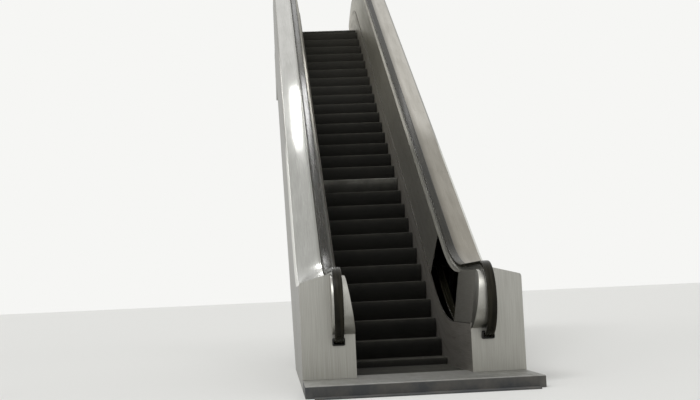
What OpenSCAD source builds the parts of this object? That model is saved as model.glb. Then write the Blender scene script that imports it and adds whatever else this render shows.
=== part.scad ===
// Public escalator with solid stainless balustrades, wide outer decks and black rubber handrails.
// X runs up the flight, Y across it (left hand positive) and Z up.
// The origin is on the flat underside of the lower support angle, in the middle of its width.

/* [Rise and run] */
// Height from the lower landing floor to the upper one
rise = 5600; // [3600:200:6000]
// Slope of the flight, in degrees
slope = 30; // [27.3:0.1:35]
// From the lower end of the truss to the point where the slope meets the lower floor
lower_reach = 2200; // [2100:50:3000]
// From the point where the slope meets the upper floor to the upper end of the truss
upper_reach = 2500; // [2400:50:3400]
// Height of the lower landing floor above the bearing face
floor_height = 100; // [90:5:160]

/* [Steps] */
// Width of a step
step_width = 1000; // [600:100:1000]
// Distance from one nosing to the next along the band
step_pitch = 400; // [396:1:405]
// Radius of the band's lower bend, measured at the nosings
step_lower_radius = 1200; // [1000:50:2000]
// Radius of the band's upper bend, measured at the nosings
step_upper_radius = 1500; // [1000:50:2600]
// Level run of the steps at each landing
level_run = 800; // [800:50:1200]
// How far the band has moved on from a nosing at the lower comb line
band_shift = -3.6; // [-40:0.1:0]
// Height of the cleats that stand on each tread
cleat_height = 10; // [9:0.5:12]
// Thickness of the tread plate under the cleats
tread_thickness = 24; // [14:1:30]
// Thickness of the curved riser
riser_thickness = 8; // [6:1:12]
// Gap between one step and the next
step_gap = 2.6; // [2.2:0.1:5]
// Which step of the band is the paler one
pale_step_number = 14; // [5:1:20]

/* [Balustrades] */
// Height of the handrail above the nosings on the flight, plumb
rail_height = 920; // [900:10:1000]
// Height of the handrail above the landing floors
landing_rail_height = 960; // [940:10:1050]
// Radius of the handrail's lower bend
rail_lower_radius = 2000; // [1600:50:3000]
// Radius of the handrail's upper bend
rail_upper_radius = 2600; // [2300:50:4000]
// Radius of the handrail as it turns round a newel
newel_radius = 330; // [300:5:350]
// From the lower work point back to the lower newel's centre
lower_newel_reach = 1450; // [1350:10:1600]
// From the upper work point on to the upper newel's centre
upper_newel_reach = 1750; // [1500:10:1900]
// Gap between a step and the skirt
skirt_gap = 4; // [2:0.5:6]
// How far the inner panel leans out between its foot and its head
panel_lean = 66; // [0:2:100]
// Width of the bright ledge between the inner panel and the handrail
ledge_width = 40; // [30:1:60]
// Width of the handrail
rail_width = 80; // [70:1:90]
// Thickness of the handrail
rail_thickness = 34; // [28:1:40]
// Width of the sloping outer deck
deck_width = 256; // [150:2:320]
// Fall of the outer deck from the handrail to its outer edge
deck_fall = 64; // [0:2:90]
// Radius of the rounded trim along the outer edge
edge_radius = 26; // [12:1:40]
// Thickness of the stainless sheets
sheet = 4; // [2:0.5:6]
// Length of one inner panel on the flight
panel_length = 2400; // [1200:50:3000]
// Width of the joint between two inner panels
panel_joint = 2; // [1:0.5:5]
// How far up the flight the lower curve panels reach beyond the bend
curve_panel_tangent = 300; // [100:50:600]

/* [Body] */
// Depth of the clad body below the handrail, square to the slope
body_depth = 1850; // [1700:10:1950]
// Thickness of the floor plates
plate_thickness = 8; // [6:1:12]
// Width of the bars in the landing frames
frame_bar = 50; // [40:5:60]
// Width of the support angles that bear on the building
support_width = 150; // [120:10:180]
// Thickness of the support angles
support_thickness = 12; // [10:1:20]
// Radius of a levelling bolt hole in a support angle
bolt_radius = 11; // [9:0.5:14]
// Distance between the two levelling bolts of a support angle
bolt_spacing = 1400; // [900:50:1500]
// Spacing of the cross frames inside the body, along the slope
frame_spacing = 1800; // [1200:50:2400]

/* [Combs] */
// Distance from one comb tooth to the next, and so from one cleat to the next
tooth_pitch = 9; // [9:0.1:10]
// Width of a comb tooth
tooth_width = 3.4; // [2.6:0.1:4]
// Length of the teeth beyond the comb's body
tooth_length = 42; // [30:1:60]
// Length of the comb's body
comb_length = 60; // [40:5:90]

/* [Hidden] */
$fn = 64;
bend_fn = 256;

// Colours
satin_steel = [0.62, 0.64, 0.66];
dark_steel = [0.36, 0.37, 0.39];
bright_steel = [0.78, 0.79, 0.80];
rubber_black = [0.05, 0.05, 0.05];
step_grey = [0.14, 0.14, 0.15];
pale_grey = [0.34, 0.33, 0.31];
cast_grey = [0.55, 0.56, 0.57];
frame_grey = [0.25, 0.26, 0.27];

// Stations along X
lower_end = support_width / 2;
lower_work = lower_end + lower_reach;
upper_work = lower_work + rise / tan(slope);
upper_end = upper_work + upper_reach;
lower_newel = lower_work - lower_newel_reach;
upper_newel = upper_work + upper_newel_reach;
lower_comb = lower_work - step_lower_radius * tan(slope / 2) - level_run;
upper_comb = upper_work + step_upper_radius * tan(slope / 2) + level_run;

// Levels: a comb plate stands this much above the tops of the cleats
comb_rise = 8;
lower_floor = floor_height;
upper_floor = floor_height + rise;
lower_cleats = lower_floor - comb_rise;
upper_cleats = upper_floor - comb_rise;

// A path holds: where its slope meets the lower level, its two levels and its two bend radii
step_path = [lower_work, lower_cleats, upper_cleats, step_lower_radius, step_upper_radius];
rail_shift = (landing_rail_height + comb_rise - rail_height) / tan(slope);
rail_path = [lower_work + rail_shift, lower_floor + landing_rail_height,
             upper_floor + landing_rail_height, rail_lower_radius, rail_upper_radius];

// Section across a balustrade: Y from the middle of the flight, N up from the top of the handrail
panel_setback = 6;
rail_overlap = 7;
rail_gap = 1;
head_depth = 76;
foot_depth = 537;
skirt_height = 510;
shoulder_depth = 58;
slot_depth = 10;
sheet_joint = 2;
skirt_face = step_width / 2 + skirt_gap;
panel_foot = skirt_face + panel_setback;
panel_head = panel_foot + panel_lean;
rail_inner = panel_head + ledge_width - rail_overlap;
rail_middle = rail_inner + rail_width / 2;
rail_outer = rail_inner + rail_width;
deck_inner = rail_outer + rail_gap;
deck_outer = deck_inner + deck_width;
body_half = deck_outer + edge_radius;
head_n = -head_depth;
foot_n = -foot_depth;
skirt_top_n = foot_n - sheet_joint;
skirt_bottom_n = foot_n - skirt_height;
shoulder_n = -shoulder_depth;
deck_edge_n = shoulder_n - deck_fall;
rail_slot_n = -slot_depth;
rail_clearance = 1.8;
guide_wall = 3;
guide_top = 5;
guide_inset = 12;
guide_neck_inset = 22;
guide_neck = rail_width / 2 - guide_neck_inset;
guide_foot = 20;
guide_foot_inner = rail_middle - guide_neck - guide_foot;
core_reach = 55;
core_outer = rail_middle + core_reach;
core_radius = newel_radius - head_depth;
loop_depth = 2 * newel_radius;

// Chain rollers below each nosing, and the rails that they run on
roller_radius = 38;
roller_back = 120;
roller_drop = 190;
roller_width = 38;
seat = 0.3;
track_height = 30;
track_width = 44;
track_inset = 70;
track_inner = step_width / 2 - track_inset;
bracket_inset = 6;
bracket_y = track_inner - bracket_inset;
bracket_thickness = 8;
track_path = [step_path[0] + roller_back, step_path[1] - roller_drop, step_path[2] - roller_drop,
              step_lower_radius, step_upper_radius];
track_bottom_n = -rail_height * cos(slope) - roller_drop * cos(slope) - roller_back * sin(slope)
                 - roller_radius - track_height;

riser_depth = 206;
tooth_count = floor(step_width / tooth_pitch) - 1;
segment_teeth = 22;
segment_joint = 1;
comb_side_gap = 1;
comb_half = skirt_face - comb_side_gap;
span = 20000;

// The landing frames stop short of the step band and of the newels' plates
support_inset = 70;
frame_setback = 60;
band_clearance = 14;

// Lengths along a path
function lower_tangent(path) = path[3] * tan(slope / 2);
function upper_tangent(path) = path[4] * tan(slope / 2);
function lower_arc(path) = path[3] * slope * PI / 180;
function upper_arc(path) = path[4] * slope * PI / 180;
function flight(path) = (path[2] - path[1]) / sin(slope) - lower_tangent(path) - upper_tangent(path);
function flight_foot(path) = [path[0] + lower_tangent(path) * cos(slope),
                              path[1] + lower_tangent(path) * sin(slope)];
function top_knee(path) = path[0] + (path[2] - path[1]) / tan(slope);
function lower_level_end(path) = path[0] - lower_tangent(path);
function upper_level_start(path) = top_knee(path) + upper_tangent(path);

// Point on the nosing path at a distance from the lower comb line, measured along the band
function band_point(s) =
    let (
        a = level_run,
        b = a + lower_arc(step_path),
        c = b + flight(step_path),
        d = c + upper_arc(step_path),
        foot = flight_foot(step_path),
        low_turn = (s - a) / step_path[3] * 180 / PI,
        high_turn = (d - s) / step_path[4] * 180 / PI
    )
    s < a ? [lower_comb + s, step_path[1]]
    : s < b ? [lower_level_end(step_path) + step_path[3] * sin(low_turn),
               step_path[1] + step_path[3] * (1 - cos(low_turn))]
    : s < c ? [foot[0] + (s - b) * cos(slope), foot[1] + (s - b) * sin(slope)]
    : s < d ? [upper_level_start(step_path) - step_path[4] * sin(high_turn),
               step_path[2] - step_path[4] * (1 - cos(high_turn))]
    : [upper_level_start(step_path) + s - d, step_path[2]];

band_length = 2 * level_run + lower_arc(step_path) + flight(step_path) + upper_arc(step_path);
step_count = ceil((band_length - band_shift) / step_pitch);
upper_overrun = band_shift + step_count * step_pitch - band_length;
lower_overrun = -band_shift;
first_curve_step = 2;
first_flight_step = 4;
second_group_end = 22;
last_flight_step = floor((level_run + lower_arc(step_path) + flight(step_path)) / step_pitch);

panel_count = ceil(flight(rail_path) / panel_length);

// Sweeps of a section (drawn as Y across and N up) along the stretches of a path
module along_lower_level(path, from_x, to_x) {
    translate([from_x, 0, path[1]])
        rotate([90, 0, 90]) linear_extrude(to_x - from_x) children();
}

module along_lower_bend(path, from_angle = 0, to_angle = slope) {
    translate([lower_level_end(path), 0, path[1] + path[3]])
        rotate([-90, 0, 0]) rotate([0, 0, 90 - to_angle])
            rotate_extrude(angle = to_angle - from_angle, $fn = bend_fn)
                translate([path[3], 0]) rotate(90) children();
}

module along_flight(path, from_s = 0, to_s = -1) {
    foot = flight_foot(path);
    length = (to_s < 0 ? flight(path) : to_s) - from_s;
    translate([foot[0], 0, foot[1]]) rotate([0, -slope, 0])
        translate([from_s, 0, 0]) rotate([90, 0, 90]) linear_extrude(length) children();
}

module along_upper_bend(path) {
    translate([upper_level_start(path), 0, path[2] - path[4]])
        rotate([90, 0, 0]) rotate([0, 0, 90])
            rotate_extrude(angle = slope, $fn = bend_fn)
                translate([path[4], 0]) rotate(-90) children();
}

module along_upper_level(path, from_x, to_x) {
    translate([from_x, 0, path[2]])
        rotate([90, 0, 90]) linear_extrude(to_x - from_x) children();
}

// The flight in equal lengths with a joint between each two
module along_flight_lengths(path, count, joint, start = 0) {
    length = (flight(path) - start) / count;
    for (i = [0 : count - 1])
        along_flight(path, start + i * length + joint / 2, start + (i + 1) * length - joint / 2)
            children();
}

// All five stretches, each its own length with a joint to the next
module along_path(path, from_x, to_x, count = 1, joint = 1) {
    along_lower_level(path, from_x, lower_level_end(path) - joint / 2) children();
    along_lower_bend(path) children();
    along_flight_lengths(path, count, joint) children();
    along_upper_bend(path) children();
    along_upper_level(path, upper_level_start(path) + joint / 2, to_x) children();
}

// Keeps what stands above the ground
module above_ground() {
    intersection() {
        children();
        translate([-span / 2, -span / 2, 0]) cube([2 * span, span, span]);
    }
}

// Draws a left-hand piece on the side asked for
module on_side(side) {
    if (side == "left") children();
    else mirror([0, 1, 0]) children();
}

// Puts a piece drawn round the lower newel's centre line at one of the four newels
module at_newel(side, end) {
    x = end == "lower" ? lower_newel : upper_newel;
    z = end == "lower" ? rail_path[1] : rail_path[2];
    on_side(side) translate([x, 0, z])
        mirror([end == "lower" ? 0 : 1, 0, 0]) children();
}

// Turns a section round the newel, from the top of the turn
module round_newel(angle = 180) {
    translate([0, 0, -newel_radius]) rotate([90, 0, 0]) rotate([0, 0, 90])
        rotate_extrude(angle = angle) translate([newel_radius, 0]) rotate(-90) children();
}

// Sections
module panel_section() {
    polygon([[panel_foot, foot_n], [panel_foot + sheet, foot_n],
             [panel_head + sheet, head_n], [panel_head, head_n]]);
}

module skirt_section() {
    translate([skirt_face, skirt_bottom_n]) square([sheet, skirt_top_n - skirt_bottom_n]);
    translate([skirt_face, skirt_top_n - sheet]) square([panel_foot + sheet - skirt_face, sheet]);
    translate([panel_foot, skirt_top_n - sheet]) square([sheet, sheet + sheet_joint]);
}

module ledge_section() {
    translate([panel_head, head_n]) square([guide_foot_inner - seat - panel_head, sheet]);
}

module guide_section() {
    top = rail_slot_n - rail_clearance;
    half_head = rail_width / 2 - guide_inset;
    for (side = [-1, 1]) {
        translate([rail_middle + side * (guide_neck + guide_foot / 2), head_n + guide_wall / 2])
            square([guide_foot, guide_wall], center = true);
        translate([rail_middle + side * (guide_neck + guide_wall / 2), (head_n + top) / 2])
            square([guide_wall, top - head_n], center = true);
    }
    translate([rail_middle - half_head, top - guide_top]) square([2 * half_head, guide_top]);
}

function arc_points(y, n, radius, from_angle, to_angle, steps) = [
    for (i = [0 : steps])
        let (a = from_angle + (to_angle - from_angle) * i / steps)
            [y + radius * cos(a), n + radius * sin(a)]
];

// Outline of the handrail's C-shaped section
rail_corner = 13;
rail_chamfer = 5;
rail_lip = 8;
rail_wall = 10;
rail_mouth = 18;
rail_lip_n = -rail_thickness + rail_lip;
rail_outline = concat(
    arc_points(rail_inner + rail_corner, -rail_corner, rail_corner, 180, 90, 3),
    arc_points(rail_outer - rail_corner, -rail_corner, rail_corner, 90, 0, 3),
    [[rail_outer, -rail_thickness + rail_chamfer], [rail_outer - rail_chamfer, -rail_thickness],
     [rail_outer - rail_mouth, -rail_thickness], [rail_outer - rail_mouth, rail_lip_n],
     [rail_outer - rail_wall, rail_lip_n], [rail_outer - rail_wall, rail_slot_n],
     [rail_inner + rail_wall, rail_slot_n], [rail_inner + rail_wall, rail_lip_n],
     [rail_inner + rail_mouth, rail_lip_n], [rail_inner + rail_mouth, -rail_thickness],
     [rail_inner + rail_chamfer, -rail_thickness], [rail_inner, -rail_thickness + rail_chamfer]]
);

// Rings along the handrail loop: X and Z of the back of the handrail, and the way that it faces
bend_step = slope / 8;
newel_step = 7.5;
function lower_bend_ring(turn) = [lower_level_end(rail_path) + rail_path[3] * sin(turn),
                                  rail_path[1] + rail_path[3] * (1 - cos(turn)), 90 + turn];
function upper_bend_ring(turn) = [upper_level_start(rail_path) - rail_path[4] * sin(turn),
                                  rail_path[2] - rail_path[4] * (1 - cos(turn)), 90 + turn];
function newel_ring(x, top, facing) = [x + newel_radius * cos(facing),
                                       top - newel_radius + newel_radius * sin(facing), facing];
function return_ring(ring) = [ring[0] - loop_depth * cos(ring[2]),
                              ring[1] - loop_depth * sin(ring[2]), ring[2] + 180];
rail_loop = concat(
    [for (turn = [0 : bend_step : slope]) lower_bend_ring(turn)],
    [for (turn = [slope : -bend_step : 0]) upper_bend_ring(turn)],
    [for (facing = [90 : -newel_step : -90]) newel_ring(upper_newel, rail_path[2], facing)],
    [for (turn = [0 : bend_step : slope]) return_ring(upper_bend_ring(turn))],
    [for (turn = [slope : -bend_step : 0]) return_ring(lower_bend_ring(turn))],
    [for (facing = [270 : -newel_step : 90]) newel_ring(lower_newel, rail_path[1], facing)]
);

// Sweeps an outline along a closed loop of rings
module closed_sweep(loop, outline) {
    rings = len(loop);
    sides = len(outline);
    points = [
        for (ring = loop)
            for (p = outline)
                [ring[0] + p[1] * cos(ring[2]), p[0], ring[1] + p[1] * sin(ring[2])]
    ];
    faces = [
        for (i = [0 : rings - 1])
            for (j = [0 : sides - 1])
                let (next_ring = (i + 1) % rings, next_side = (j + 1) % sides)
                    [i * sides + j, i * sides + next_side,
                     next_ring * sides + next_side, next_ring * sides + j]
    ];
    polyhedron(points, faces);
}

// The deck sheet: an upright leg beside the handrail, a rounded shoulder and a sloping top
deck_round = 10;
deck_leg_drop = 8;
fold = 1;
under_start = deck_inner + deck_round + fold;
function deck_under(y) = shoulder_n - sheet
                         - (y - under_start) * deck_fall / (deck_outer - under_start);

module deck_section() {
    polygon([[deck_inner, head_n], [deck_inner, shoulder_n - deck_leg_drop],
             [deck_inner + deck_round, shoulder_n], [deck_outer, deck_edge_n],
             [deck_outer, deck_edge_n - sheet], [under_start, shoulder_n - sheet],
             [deck_inner + sheet, shoulder_n - deck_round], [deck_inner + sheet, head_n]]);
}

module edge_section() {
    intersection() {
        translate([deck_outer, deck_edge_n - edge_radius]) difference() {
            circle(edge_radius);
            circle(edge_radius - sheet);
        }
        translate([deck_outer, deck_edge_n - edge_radius]) square(edge_radius);
    }
}

module cladding_section() {
    translate([body_half - sheet, -body_depth])
        square([sheet, body_depth + deck_edge_n - edge_radius]);
}

module soffit_section() {
    translate([-body_half, -body_depth - sheet]) square([2 * body_half, sheet]);
}

// Supports and landings
module support_angle() {
    half = body_half - support_inset;
    difference() {
        union() {
            translate([-support_width / 2, -half, 0])
                cube([support_width, 2 * half, support_thickness]);
            translate([support_width / 2 - support_thickness, -half, 0])
                cube([support_thickness, 2 * half, floor_height - plate_thickness]);
        }
        for (side = [-1, 1])
            translate([-support_width / 6, side * bolt_spacing / 2, -support_thickness / 2])
                cylinder(r = bolt_radius, h = 2 * support_thickness);
    }
}

module lower_support() {
    color(frame_grey) support_angle();
}

module upper_support() {
    color(frame_grey) translate([upper_end + support_width / 2, 0, rise]) mirror([1, 0, 0]) support_angle();
}

// Landing frame drawn from the end of the truss towards the comb
module landing_frame(newel_from_end, comb_from_end, band_overrun) {
    reach = comb_from_end - max(comb_length + frame_setback, band_overrun + band_clearance);
    linear_extrude(floor_height - plate_thickness) difference() {
        union() {
            translate([0, -body_half]) square([newel_from_end, 2 * body_half]);
            translate([0, -skirt_face]) square([reach, 2 * skirt_face]);
        }
        for (i = [0, 1]) {
            bay = (newel_from_end - 3 * frame_bar) / 2;
            translate([frame_bar + i * (bay + frame_bar), -body_half + frame_bar])
                square([bay, 2 * (body_half - frame_bar)]);
        }
        translate([newel_from_end, -skirt_face + frame_bar])
            square([reach - newel_from_end - frame_bar, 2 * (skirt_face - frame_bar)]);
    }
}

module lower_landing_frame() {
    color(frame_grey) translate([lower_end, 0, 0])
        landing_frame(lower_newel - lower_end, lower_comb - lower_end, lower_overrun);
}

module upper_landing_frame() {
    color(frame_grey) translate([upper_end, 0, rise]) mirror([1, 0, 0])
        landing_frame(upper_end - upper_newel, upper_end - upper_comb, upper_overrun);
}

module floor_plates(newel_from_end) {
    margin = 3;
    joint = 1;
    plate = (newel_from_end - 2 * margin) / 2;
    for (i = [0, 1])
        translate([margin + i * (plate + joint), -body_half + margin, -plate_thickness])
            cube([plate - joint, 2 * (body_half - margin), plate_thickness]);
}

module lower_floor_plates() {
    color(cast_grey) translate([lower_end, 0, lower_floor]) floor_plates(lower_newel - lower_end);
}

module upper_floor_plates() {
    color(cast_grey) translate([upper_end, 0, upper_floor]) mirror([1, 0, 0])
        floor_plates(upper_end - upper_newel);
}

module comb_plate(from_newel_to_comb) {
    translate([0, -comb_half, -plate_thickness])
        cube([from_newel_to_comb - comb_length, 2 * comb_half, plate_thickness]);
}

module lower_comb_plate() {
    color(cast_grey) translate([lower_newel, 0, lower_floor]) comb_plate(lower_comb - lower_newel);
}

module upper_comb_plate() {
    color(cast_grey) translate([upper_newel, 0, upper_floor]) mirror([1, 0, 0])
        comb_plate(upper_newel - upper_comb);
}

// Combs: wedge-shaped segments side by side, whose teeth reach down between the cleats
module comb() {
    lip = 2;
    groove_clearance = 1;
    taper = 0.5;
    tooth_half = tooth_width / 2;
    tip_half = tooth_half - taper;
    first = -(tooth_count - 1) / 2 * tooth_pitch;
    underside = -comb_rise + groove_clearance;
    tooth_root = -comb_rise - cleat_height + groove_clearance;
    teeth = [
        for (i = [0 : tooth_count - 1])
            let (y = first + i * tooth_pitch)
                each [[0, y - tooth_half], [tooth_length, y - tip_half],
                      [tooth_length, y + tip_half], [0, y + tooth_half]]
    ];
    difference() {
        intersection() {
            translate([0, 0, -span / 2]) linear_extrude(span)
                polygon(concat([[-comb_length, -comb_half], [0, -comb_half]], teeth,
                               [[0, comb_half], [-comb_length, comb_half]]));
            rotate([90, 0, 0]) translate([0, 0, -span / 2]) linear_extrude(span)
                polygon([[-comb_length, 0], [-comb_length, underside], [-lip, underside],
                         [-lip, tooth_root], [tooth_length, tooth_root],
                         [tooth_length, -comb_rise - cleat_height / 2], [0, -lip]]);
        }
        for (i = [segment_teeth : segment_teeth : tooth_count - 1])
            translate([-2 * comb_length, first + (i - 0.5) * tooth_pitch - segment_joint / 2, -span / 2])
                cube([3 * comb_length, segment_joint, span]);
    }
}

module lower_combs() {
    color(cast_grey) translate([lower_comb, 0, lower_floor]) comb();
}

module upper_combs() {
    color(cast_grey) translate([upper_comb, 0, upper_floor]) mirror([1, 0, 0]) comb();
}

// Casing of the truss under the upper landing, beyond the balustrades
module upper_end_housing() {
    bottom = rail_path[2] - body_depth;
    top = upper_floor - floor_height;
    length = upper_end - upper_newel;
    color(satin_steel) difference() {
        translate([upper_newel, -body_half, bottom])
            cube([length, 2 * body_half, top - bottom]);
        translate([upper_newel - sheet, -body_half + sheet, bottom - sheet])
            cube([length, 2 * (body_half - sheet), top - bottom + 2 * sheet]);
    }
}

// One step, drawn with the top of its nosing cleats at the origin
module step_body() {
    reach = step_pitch - step_gap;
    tread_under = -cleat_height - tread_thickness;
    bracket_top = tread_under + 1;
    bracket_front = 14;
    bracket_back = 30;
    bracket_foot = 30;
    bracket_drop = roller_drop + 10;
    pad = skirt_gap - seat;
    pad_start = 90;
    pad_length = 60;
    rotate([90, 0, 0]) translate([0, 0, -step_width / 2]) linear_extrude(step_width) {
        translate([riser_thickness / 2, tread_under])
            square([reach - riser_thickness / 2, tread_thickness]);
        intersection() {
            translate([step_pitch, -cleat_height]) difference() {
                circle(reach, $fn = 256);
                circle(reach - riser_thickness, $fn = 256);
            }
            translate([0, -riser_depth]) square([step_pitch / 3, riser_depth - cleat_height]);
        }
    }
    for (side = [-1, 1]) {
        translate([pad_start, side * (step_width / 2 + pad / 2), -cleat_height - tread_thickness / 2])
            cube([pad_length, pad, tread_thickness / 2], center = true);
        translate([0, side * bracket_y + bracket_thickness / 2, 0])
            rotate([90, 0, 0]) linear_extrude(bracket_thickness)
                polygon([[bracket_front, bracket_top], [reach - bracket_back, bracket_top],
                         [roller_back + bracket_foot, -bracket_drop],
                         [roller_back - bracket_foot, -bracket_drop]]);
        translate([roller_back, side * (bracket_y + (bracket_thickness + roller_width) / 2), -roller_drop])
            rotate([90, 0, 0]) cylinder(r = roller_radius - seat, h = roller_width, center = true);
    }
}

module steps(from, to) {
    for (k = [from : to])
        let (p = band_point(band_shift + k * step_pitch))
            above_ground() translate([p[0], 0, p[1]]) step_body();
}

module lower_landing_steps() {
    color(step_grey) steps(0, first_curve_step - 1);
}

module lower_curve_steps() {
    color(step_grey) steps(first_curve_step, first_flight_step - 1);
}

module lower_flight_steps() {
    color(step_grey) steps(first_flight_step, pale_step_number - 1);
}

module pale_step() {
    color(pale_grey) steps(pale_step_number, pale_step_number);
}

module middle_flight_steps() {
    color(step_grey) steps(pale_step_number + 1, second_group_end);
}

module upper_flight_steps() {
    color(step_grey) steps(second_group_end + 1, last_flight_step);
}

module upper_curve_steps() {
    color(step_grey) steps(last_flight_step + 1, step_count - 3);
}

module upper_landing_steps() {
    color(step_grey) steps(step_count - 2, step_count - 1);
}

// Rails for the chain rollers, one each side, from the ground to the upper comb
module step_tracks() {
    color(frame_grey) for (side = ["left", "right"])
        on_side(side) above_ground() along_path(track_path, lower_comb, upper_comb)
            translate([track_inner, -roller_radius - track_height]) square([track_width, track_height]);
}

// Cross frames that carry the rails and stiffen the casing
module truss_frames() {
    post = 50;
    depth = 60;
    first = 1500;
    trim_clearance = 2;
    inside = body_half - sheet;
    low = -body_depth;
    high = deck_edge_n - edge_radius - sheet - trim_clearance;
    count = floor((flight(rail_path) - first) / frame_spacing);
    color(frame_grey) for (i = [0 : count])
        along_flight(rail_path, first + i * frame_spacing, first + i * frame_spacing + depth) {
            translate([-inside, low]) square([2 * inside, post]);
            translate([-inside, track_bottom_n - post]) square([2 * inside, post]);
            for (y = [-inside, inside - post])
                translate([y, low]) square([post, high - low]);
        }
}

// Skirts beside the steps
module skirt(side) {
    color(dark_steel) on_side(side)
        along_path(rail_path, lower_newel, upper_newel, panel_count, panel_joint) skirt_section();
}

module left_skirt() {
    skirt("left");
}

module right_skirt() {
    skirt("right");
}

// Inner panels above the skirts
module newel_panels(side) {
    color(dark_steel) on_side(side) {
        along_lower_level(rail_path, lower_newel, lower_level_end(rail_path) - panel_joint)
            panel_section();
        along_upper_level(rail_path, upper_level_start(rail_path) + panel_joint, upper_newel)
            panel_section();
    }
}

module left_newel_panels() {
    newel_panels("left");
}

module right_newel_panels() {
    newel_panels("right");
}

module left_lower_curve_panel() {
    seam = 1;
    color(dark_steel) {
        along_lower_bend(rail_path) panel_section();
        along_flight(rail_path, seam, curve_panel_tangent - panel_joint) panel_section();
    }
}

module flight_panels(side) {
    color(dark_steel) on_side(side)
        along_flight_lengths(rail_path, panel_count, 2 * panel_joint, curve_panel_tangent)
            panel_section();
}

module left_flight_panels() {
    flight_panels("left");
}

module right_flight_panels() {
    flight_panels("right");
}

module upper_curve_panels() {
    color(dark_steel) for (side = ["left", "right"])
        on_side(side) along_upper_bend(rail_path) panel_section();
}

// Posts that hold the right deck, seen where the lower curve panel is missing
module right_balustrade_posts() {
    post = 40;
    near = deck_inner + post;
    far = near + post;
    first = 4;
    every = 10;
    turn = 1;
    color(frame_grey) on_side("right") for (angle = [first : every : slope - first])
        along_lower_bend(rail_path, angle, angle + turn)
            polygon([[near, skirt_bottom_n], [far, skirt_bottom_n],
                     [far, deck_under(far) - seat], [near, deck_under(near) - seat]]);
}

// Narrow ledges between the inner panels and the handrails
module ledge(side) {
    color(bright_steel) on_side(side) {
        along_path(rail_path, lower_newel, upper_newel) ledge_section();
    }
}

module left_ledge() {
    ledge("left");
}

module right_ledge() {
    ledge("right");
}

// Steel guides inside the handrails, along the top and round the newels
module handrail_guides() {
    turn = 150;
    color(satin_steel) for (side = ["left", "right"]) {
        on_side(side) along_path(rail_path, lower_newel, upper_newel) guide_section();
        for (end = ["lower", "upper"])
            at_newel(side, end) round_newel(turn) guide_section();
    }
}

// Handrail: one closed loop, out along the top, round each newel and back inside the balustrade
module handrail(side) {
    color(rubber_black) on_side(side) closed_sweep(rail_loop, rail_outline);
}

module left_handrail() {
    handrail("left");
}

module right_handrail() {
    handrail("right");
}

// Half-round heads that the handrails turn round
module newel_core() {
    core_foot = head_n - 2 * core_radius;
    core_inner = panel_head - 2 * core_radius * panel_lean / (head_n - foot_n);
    intersection() {
        translate([0, 0, -newel_radius]) rotate([90, 0, 0])
            translate([0, 0, -span / 2]) cylinder(r = core_radius, h = span);
        translate([-2 * core_radius, 0, 0]) rotate([90, 0, 90])
            linear_extrude(2 * core_radius - sheet)
                polygon([[panel_head, head_n], [core_outer, head_n],
                         [core_outer, core_foot], [core_inner, core_foot]]);
    }
}

module newel_cores() {
    color(satin_steel) for (side = ["left", "right"])
        for (end = ["lower", "upper"])
            at_newel(side, end) newel_core();
}

// Upright plates that close the ends of the balustrades, with a slot for the handrail
module newel_end_cap() {
    floor_n = -landing_rail_height;
    slot = 6;
    translate([-sheet, 0, 0]) rotate([90, 0, 90]) linear_extrude(sheet) difference() {
        polygon([[skirt_face, floor_n], [body_half, floor_n],
                 [body_half, deck_edge_n - edge_radius], [deck_outer, deck_edge_n],
                 [deck_inner + deck_round, shoulder_n], [deck_inner, head_n], [panel_head, head_n],
                 [panel_foot, foot_n], [skirt_face, foot_n]]);
        translate([rail_inner - slot, -loop_depth - slot])
            square([rail_width + 2 * slot, rail_thickness + 2 * slot]);
    }
}

module newel_end_caps() {
    color(satin_steel) for (side = ["left", "right"])
        for (end = ["lower", "upper"])
            at_newel(side, end) newel_end_cap();
}

// Rubber collars where the handrails run into the balustrades
module handrail_inlets() {
    wall = 16;
    slot = 5;
    length = 60;
    cut = 1;
    color(rubber_black) for (side = ["left", "right"])
        for (end = ["lower", "upper"])
            at_newel(side, end) translate([-sheet - length, 0, -loop_depth]) difference() {
                translate([0, rail_inner - wall, -wall - slot])
                    cube([length, rail_width + 2 * wall, rail_thickness + 2 * wall + slot]);
                translate([-cut, rail_inner - slot, -slot])
                    cube([length + 2 * cut, rail_width + 2 * slot, rail_thickness + 3 * slot]);
            }
}

// Wide sloping decks outside the handrails
module deck(side) {
    color(bright_steel) on_side(side)
        along_path(rail_path, lower_newel, upper_newel, panel_count) deck_section();
}

module left_deck() {
    deck("left");
}

module right_deck() {
    deck("right");
}

// Quarter-round trims along the decks' outer edges
module edge_trim(side) {
    color(bright_steel) on_side(side)
        along_path(rail_path, lower_newel, upper_newel, panel_count) edge_section();
}

module left_edge_trim() {
    edge_trim("left");
}

module right_edge_trim() {
    edge_trim("right");
}

// Upright panels that clad the outer sides
module side_cladding(side) {
    color(satin_steel) on_side(side) above_ground()
        along_path(rail_path, lower_newel, upper_newel, panel_count, panel_joint) cladding_section();
}

module left_side_cladding() {
    side_cladding("left");
}

module right_side_cladding() {
    side_cladding("right");
}

// Underside of the casing
module soffit() {
    color(satin_steel) above_ground()
        along_path(rail_path, lower_newel, upper_end, panel_count) soffit_section();
}

lower_support();
upper_support();
lower_landing_frame();
upper_landing_frame();
lower_floor_plates();
upper_floor_plates();
lower_comb_plate();
upper_comb_plate();
lower_combs();
upper_combs();
upper_end_housing();
lower_landing_steps();
lower_curve_steps();
lower_flight_steps();
pale_step();
middle_flight_steps();
upper_flight_steps();
upper_curve_steps();
upper_landing_steps();
step_tracks();
truss_frames();
left_skirt();
right_skirt();
left_newel_panels();
right_newel_panels();
left_lower_curve_panel();
left_flight_panels();
right_flight_panels();
upper_curve_panels();
right_balustrade_posts();
left_ledge();
right_ledge();
handrail_guides();
left_handrail();
right_handrail();
newel_cores();
newel_end_caps();
handrail_inlets();
left_deck();
right_deck();
left_edge_trim();
right_edge_trim();
left_side_cladding();
right_side_cladding();
soffit();
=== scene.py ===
import math
import random

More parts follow.
